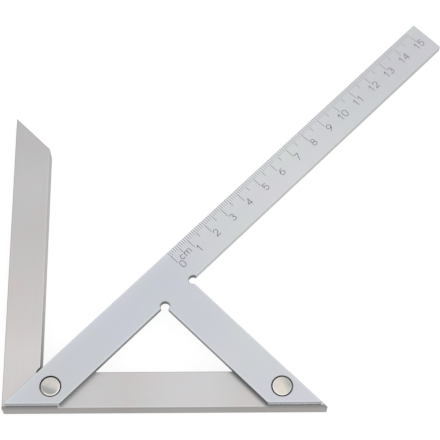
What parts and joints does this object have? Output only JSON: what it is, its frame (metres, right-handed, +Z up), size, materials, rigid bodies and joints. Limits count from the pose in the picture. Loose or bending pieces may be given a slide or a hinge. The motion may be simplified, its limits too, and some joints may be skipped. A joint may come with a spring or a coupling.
{
  "type": "centre square",
  "caption": "Flat steel centre square: an angle with a riveted 45-degree graduated rule and brace, for marking the centre of round work.",
  "frame": {"origin": "the outer corner of the square, on its underside, where its two outer faces and the rule's measuring edge meet in plan", "axes": "+X along the beam, +Y along the upright leg, +Z up out of the square's underside towards the rule; the measuring edge stands over the line y = x"},
  "size_m": [0.1877, 0.1764, 0.0112],
  "materials": {
    "ground_steel": "ground along the legs, satin",
    "matt_chrome": "matt chrome plate",
    "rivet_steel": "turned, bright"
  },
  "bodies": {
    "root": {"square": "ground_steel", "blade": "matt_chrome", "corner_rivet": "rivet_steel", "brace_rivet": "rivet_steel"}
  },
  "joints": []
}
